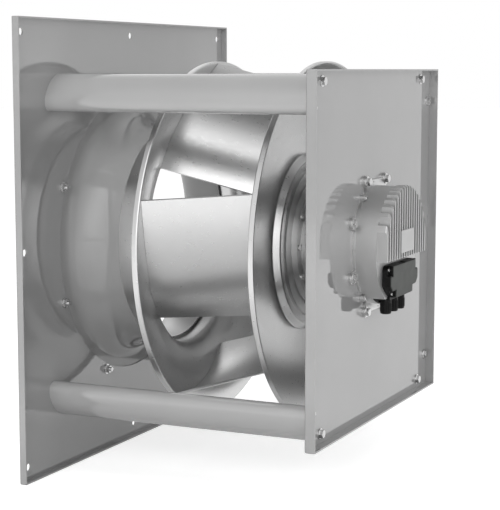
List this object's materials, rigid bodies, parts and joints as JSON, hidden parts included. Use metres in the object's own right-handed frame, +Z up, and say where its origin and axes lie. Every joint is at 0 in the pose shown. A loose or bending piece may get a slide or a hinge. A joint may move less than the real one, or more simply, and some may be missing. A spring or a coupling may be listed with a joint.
{
  "type": "plug fan",
  "caption": "Free-running centrifugal plug fan: folded inlet plate with nozzle, oval struts and a motor plate round a backward-curved impeller on an external rotor motor.",
  "frame": {"origin": "centre of the inlet plate's outer face, on the fan axis", "axes": "+X along the fan axis from the inlet towards the motor, +Z up, with the cable glands pointing down"},
  "size_m": [0.57, 0.8, 0.8],
  "materials": {
    "sheet_steel": "smooth galvanised sheet, softly mirror-like",
    "nozzle_sheet": "smooth galvanised sheet",
    "strut_aluminium": "satin extruded",
    "fastener": "bright zinc plated",
    "rivet_aluminium": "bright",
    "cast_aluminium": "fine cast, light grey",
    "machined_aluminium": "machined, bright",
    "bearing_steel": "ground",
    "core_steel": "laminated",
    "copper": "enamelled copper wire",
    "circuit_board": "lacquered",
    "black_plastic": "fine moulded",
    "grey_plastic": "fine moulded",
    "seal_rubber": "matt",
    "impeller_aluminium": "polished sheet",
    "rotor_steel": "turned and plated",
    "magnet": "sintered",
    "shaft_steel": "ground"
  },
  "bodies": {
    "fan_frame": {"inlet_plate": "sheet_steel", "motor_plate": "sheet_steel", "inlet_nozzle": "nozzle_sheet", "strut_near_top": "strut_aluminium", "strut_far_top": "strut_aluminium", "strut_near_bottom": "strut_aluminium", "strut_far_bottom": "strut_aluminium", "nozzle_screws": "fastener", "nozzle_nuts": "fastener", "strut_inlet_screws": "fastener", "strut_motor_bolts": "fastener", "strut_washers": "fastener", "motor_bolts": "fastener", "motor_nuts": "fastener", "housing_screws": "fastener", "cover_screws": "fastener", "motor_flange": "machined_aluminium", "electronics_housing": "cast_aluminium", "bearing_front": "bearing_steel", "bearing_rear": "bearing_steel", "stator_core": "core_steel", "stator_windings": "copper", "electronics_board": "circuit_board", "terminal_box": "black_plastic", "terminal_lid": "black_plastic", "lid_panel": "grey_plastic", "gland_bodies": "black_plastic", "gland_caps": "black_plastic", "gland_seals": "seal_rubber"},
    "impeller_rotor": {"impeller_shroud": "impeller_aluminium", "impeller_disc": "impeller_aluminium", "blade_1": "impeller_aluminium", "blade_2": "impeller_aluminium", "blade_3": "impeller_aluminium", "blade_4": "impeller_aluminium", "blade_5": "impeller_aluminium", "hub_ring": "machined_aluminium", "hub_rivets": "rivet_aluminium", "clamp_ring": "impeller_aluminium", "hub_screws": "fastener", "rotor_bell": "rotor_steel", "rotor_magnets": "magnet", "shaft": "shaft_steel"}
  },
  "joints": [
    {"name": "impeller_spin", "type": "hinge", "parent": "fan_frame", "child": "impeller_rotor", "pos_m": [0.45, 0, 0], "axis": [1, 0, 0], "continuous": true}
  ]
}
